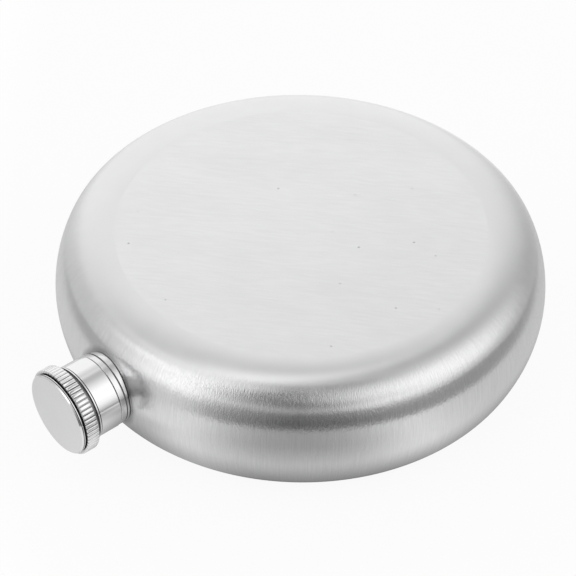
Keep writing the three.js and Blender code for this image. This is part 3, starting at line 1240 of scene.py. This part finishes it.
@dataclass
class Studio:
    """The pale board that the flask lies on, the room with its soft boxes, and the camera.

    Lengths are metres, from the middle of the flask for the board. A pair says where a change begins and
    where it is full. A rise is the sine of an elevation, and a spread is the cosine from a bearing.
    """

    view_bearing: float = 48.73  # degrees of the camera from the neck, to the right
    view_elevation: float = 42.34
    view_distance: float = 0.4361
    view_lens: float = 132.9
    view_sensor: float = 36.0
    view_roll: float = 1.013
    view_shift: Span = (-0.0219, -0.0195)
    view_clip: Span = (0.01, 20.0)
    target: Point = (0.0, 0.0, 0.0136)

    board_front: float = 0.126
    board_side: float = 0.0885
    board_back: float = 0.6
    board_segments: int = 128
    board_tone: float = 0.95
    board_white: float = 0.92  # share of plain white in the board as the camera sees it, 1 at its edge
    board_fade: Span = (0.7, 0.95)  # where the white share grows, as shares of the reach
    board_glow: float = 0.94  # how bright the metal sees the board
    contact_shade: float = 0.76  # how much of that is lost under the flask
    contact: Span = (0.057, 0.043)
    contact_right: float = 0.3  # share of the contact shade that is missing at the right
    contact_left: float = 0.3  # and at the left
    contact_spread: Span = (0.12, 0.5)
    cap_shade: float = 0.33  # how much is lost under the cap
    cap_reach: Span = (0.066, 0.056)  # along the neck
    cap_breadth: Span = (0.022, 0.004)  # to its side
    front_shade: float = 0.635  # how much darker the board is towards the camera
    front_bearing: float = 0.4  # degrees to the right of the camera
    front_spread: Span = (0.79, 1.03)
    front_start: Span = (0.025, 0.075)
    left_shade: float = 0.26  # how much darker the board is at the left
    right_shade: float = 0.32  # and at the right
    side_spread: Span = (0.38, 0.92)

    room_tone: float = 0.62
    room_limit: float = 1.02  # the lightest that the glows make it
    low_shade: float = 0.2  # how much darker the room gets towards the board, except behind the flask
    low_rise: Span = (0.3, -0.05)
    low_spread: Span = (0.3, -0.3)
    gap_shade: float = 0.34  # how much darker the room is again just over the board's edge
    gap_rise: Span = (-0.025, -0.105)
    gap_drop: float = 0.1  # how much lower that is behind the flask
    gap_drop_spread: Span = (-0.25, 0.25)
    gap_left: float = 0.8  # share of the gap's shade at the left
    gap_side_spread: Span = (-0.6, -0.1)
    gap_end: Span = (0.8, 0.3)  # where it ends behind the flask
    glows: tuple[Glow, ...] = (
        Glow(-177, 18.4, 0.742, 5.1),  # the white wall behind the flask
        Glow(140, 22, -0.3, 3.6),  # its darker right end
        Glow(-155, 62, -0.12, 30),  # the ceiling at both sides of it
        Glow(150, 62, -0.08, 30),
    )
    boxes: tuple[SoftBox, ...] = (
        SoftBox(-126, 75.8, 19.8, 5.1, 1.44, 0.9, 1.0),  # strip lamp overhead
        SoftBox(11.5, 50, 30, 33, 0.08, 0.9, 0.6),  # dark screen at the camera
        SoftBox(2, -2.5, 27.5, 15, 0.18, 0.9, 0.8),  # its foot
        SoftBox(46, 75, 14, 14, 0.22, 1.0, 1.0),  # its top
        SoftBox(-65.8, 5.4, 25.7, 68.6, 1.39, 0.075, 1.2),  # tall lamp at the left
        SoftBox(-100, 5, 28, 33, 0.62, 0.95, 0.5),  # grey screen beside it
        SoftBox(-98, 62, 9, 8, 1.0, 1.0, 1.0),  # light over that screen
        SoftBox(66.5, 37.5, 33.5, 31, 1.19, 1.0, 0.85),  # wide lamp at the right
        SoftBox(45, 15, 18, 9, 1.04, 1.0, 1.0),  # its low corner
    )
    box_rim: Span = (0.02, 0.1)  # cosines from a box's middle over which it comes into view

    def _toward(self, bearing: float, elevation: float = 0.0) -> Vector:
        """The direction of a bearing from the camera's and an elevation, in degrees."""
        turn, rise = math.radians(self.view_bearing + bearing), math.radians(elevation)
        return Vector((math.sin(turn) * math.cos(rise), -math.cos(turn) * math.cos(rise), math.sin(rise)))

    def place_camera(self) -> None:
        """Sets the camera at the photograph's angle."""
        camera = bpy.data.objects.new("camera", bpy.data.cameras.new("camera"))
        bpy.context.scene.collection.objects.link(camera)
        back = self._toward(0.0, self.view_elevation)
        camera.location = Vector(self.target) + back * self.view_distance
        camera.rotation_mode = "QUATERNION"
        roll = Quaternion((0.0, 0.0, 1.0), math.radians(self.view_roll))
        camera.rotation_quaternion = (-back).to_track_quat("-Z", "Y") @ roll
        camera.data.lens = self.view_lens
        camera.data.sensor_width = self.view_sensor
        camera.data.shift_x, camera.data.shift_y = self.view_shift
        camera.data.clip_start, camera.data.clip_end = self.view_clip
        bpy.context.scene.camera = camera

    def _board_light(self, sheet: SurfaceSheet, near: Rule, right: Rule) -> Rule:
        """How bright the metal sees the board: shaded by the flask, and less lit at the front and the sides.

        Args:
            sheet: the board's tree.
            near: how far a point is towards the camera.
            right: how far it is to the right.

        Returns:
            The brightness.
        """
        out = sheet.math("SQRT", near * near + right * right + WELD * WELD)
        ahead = sheet.along(sheet.place, self._toward(self.front_bearing)) / out
        front = sheet.ramp(ahead, *self.front_spread) * sheet.ramp(out, *self.front_start)
        to_right, to_left = right / out, right / out * -1.0
        on_right = sheet.ramp(to_right, *self.side_spread)
        sides = self.right_shade * on_right + self.left_shade * sheet.ramp(to_left, *self.side_spread)
        close = sheet.ramp(out, *self.contact) * (1.0 - self.contact_right * on_right)
        close = close * (1.0 - self.contact_left * sheet.ramp(to_left, *self.contact_spread))
        beside = sheet.ramp(sheet.math("ABSOLUTE", sheet.x), *self.cap_breadth)
        under_cap = beside * sheet.ramp(sheet.y * -1.0, *self.cap_reach)
        under_cap = under_cap * sheet.math("LESS_THAN", sheet.y, 0.0)
        lit = self.board_glow * (1.0 - self.front_shade * front) * (1.0 - sides)
        return lit * (1.0 - self.contact_shade * close) * (1.0 - self.cap_shade * under_cap)

    def board_material(self) -> Material:
        """A pale matt board, nearly white to the camera with a faint shadow, that the metal sees as lit.

        Returns:
            The material.
        """
        pale = bpy.data.materials.new("pale_board")
        pale.use_nodes = True
        pale.cycles.emission_sampling = "NONE"
        pale.node_tree.nodes.clear()
        sheet = SurfaceSheet(pale.node_tree)
        near, right = (sheet.along(sheet.place, self._toward(bearing)) for bearing in (0.0, 90.0))
        side = right / self.board_side
        deep = sheet.math("MAXIMUM", near / self.board_front, near / -self.board_back)
        reach = sheet.math("SQRT", side * side + deep * deep)
        white = self.board_white + (1.0 - self.board_white) * sheet.ramp(reach, *self.board_fade)
        glossy, seen = sheet.ray("Glossy"), sheet.ray("Camera") + sheet.ray("Transmission")
        strength = 1.0 + glossy * (self._board_light(sheet, near, right) - 1.0)
        matt = sheet.out("ShaderNodeBsdfDiffuse", {"Color": (*(self.board_tone,) * 3, 1.0)})
        plain = sheet.out("ShaderNodeEmission", {"Strength": strength})
        mix = {"Fac": sheet.held(seen * white + glossy), 1: matt, 2: plain}
        sheet.node("ShaderNodeOutputMaterial", {"Surface": sheet.out("ShaderNodeMixShader", mix)})
        return pale

    def lay_board(self) -> None:
        """Lays the board under the flask: short at the front and the sides, and long at the back."""
        near, right = self._toward(0.0), self._toward(90.0)
        edge = []
        for i in range(self.board_segments):
            angle = TURN * i / self.board_segments
            depth = math.cos(angle) * (self.board_front if math.cos(angle) > 0 else self.board_back)
            edge.append(right * (math.sin(angle) * self.board_side) + near * depth)
        mesh = bpy.data.meshes.new("board")
        mesh.from_pydata(edge, [], [list(range(self.board_segments))])
        new_piece(mesh, self.board_material())

    def _box_share(self, sheet: NodeSheet, way: Socket, box: SoftBox) -> Rule:
        """How much of a soft box is seen in each direction.

        Args:
            sheet: the world's tree.
            way: the direction.
            box: the soft box.

        Returns:
            1 in the middle of the box and 0 outside its soft edge.
        """
        ahead, right = self._toward(box.bearing, box.elevation), self._toward(box.bearing + 90.0)
        facing = sheet.along(way, ahead)
        depth = sheet.math("MAXIMUM", facing, self.box_rim[0])
        share = sheet.ramp(facing, *self.box_rim)
        across = (right, box.half_width, box.soft_across)
        upward = (ahead.cross(right), box.half_height, box.soft_up)
        for axis, half, soft in (across, upward):
            off = sheet.math("ABSOLUTE", sheet.along(way, axis)) / depth / math.tan(math.radians(half))
            share = share * sheet.ramp(off, 1.0 + soft, 1.0 - soft)
        return share

    def paint_room(self) -> None:
        """Paints the room by direction: the glows, the boxes over them, and the shade close to the board."""
        world = bpy.data.worlds.new("room")
        bpy.context.scene.world = world
        world.use_nodes = True
        world.node_tree.nodes.clear()
        sheet = NodeSheet(world.node_tree)
        way = sheet.node("ShaderNodeTexCoord").outputs["Generated"]
        up = sheet.parts(way)[2]
        right, behind = (sheet.along(way, self._toward(bearing)) for bearing in (90.0, 180.0))
        tone = self.room_tone
        for glow in self.glows:
            off = sheet.along(way, self._toward(glow.bearing, glow.elevation)) - 1.0
            tone = tone + glow.gain * sheet.math("EXPONENT", off * glow.narrowness)
        tone = sheet.math("MINIMUM", tone, self.room_limit)
        for box in self.boxes:
            tone = tone + (box.glow - tone) * self._box_share(sheet, way, box)
        low = sheet.ramp(up, *self.low_rise)
        tone = tone * (1.0 - self.low_shade * low * sheet.ramp(behind, *self.low_spread))
        gap = sheet.ramp(up + self.gap_drop * sheet.ramp(behind, *self.gap_drop_spread), *self.gap_rise)
        side = self.gap_left + (1.0 - self.gap_left) * sheet.ramp(right, *self.gap_side_spread)
        tone = tone * (1.0 - self.gap_shade * (gap * side * sheet.ramp(behind, *self.gap_end)))
        white = sheet.held(sheet.ray("Camera") + sheet.ray("Transmission"))
        paint = {"Color": (1.0, 1.0, 1.0, 1.0), "Strength": tone + (1.0 - tone) * white}
        sheet.node("ShaderNodeOutputWorld", {"Surface": sheet.out("ShaderNodeBackground", paint)})

    def build(self) -> None:
        """Sets up the whole studio."""
        bpy.context.scene.view_settings.view_transform = "Standard"
        self.place_camera()
        self.lay_board()
        self.paint_room()


def main() -> None:
    """Builds the flask and its studio in order."""
    logging.basicConfig(level=logging.INFO, format="%(name)s: %(message)s")
    Studio().build()
    body = FlaskBody()
    body.build()
    neck = Neck(body)
    neck.build()
    ScrewCap().build(neck.thread_foot)


if __name__ == "__main__":
    main()
